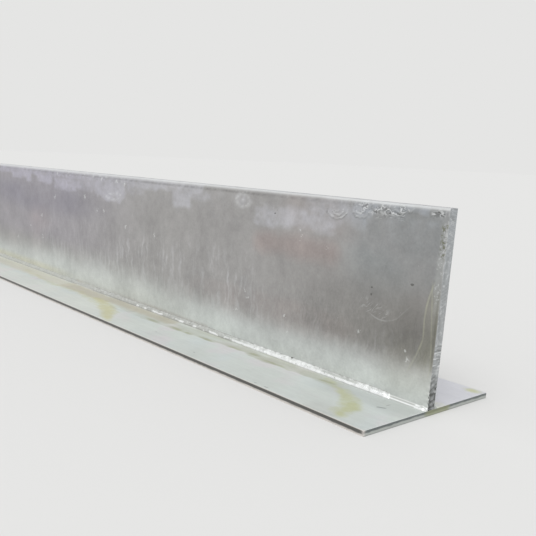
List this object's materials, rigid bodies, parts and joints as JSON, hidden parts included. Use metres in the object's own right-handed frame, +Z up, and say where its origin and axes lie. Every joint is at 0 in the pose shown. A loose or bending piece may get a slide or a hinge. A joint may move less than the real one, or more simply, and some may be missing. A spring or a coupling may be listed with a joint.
{
  "type": "steel t-beam",
  "caption": "Galvanised steel T-beam: a thick upright web plate fillet-welded along the middle of a thin flat flange plate, ends cut square, for lintels and light framing.",
  "frame": {"origin": "middle of the flange's flat underside, at half the beam's length", "axes": "+X along the beam towards the end that the picture shows, +Y across the flange away from the pictured side, +Z up along the web"},
  "size_m": [3, 0.2, 0.206],
  "materials": {
    "galvanised_plate": "dull hot-dip zinc, patchy, with faint yellow-green stains on the flange",
    "galvanised_weld": "brighter rippled zinc over weld metal"
  },
  "bodies": {
    "root": {"flange_plate": "galvanised_plate", "web_plate": "galvanised_plate", "front_fillet_weld": "galvanised_weld", "back_fillet_weld": "galvanised_weld"}
  },
  "joints": []
}
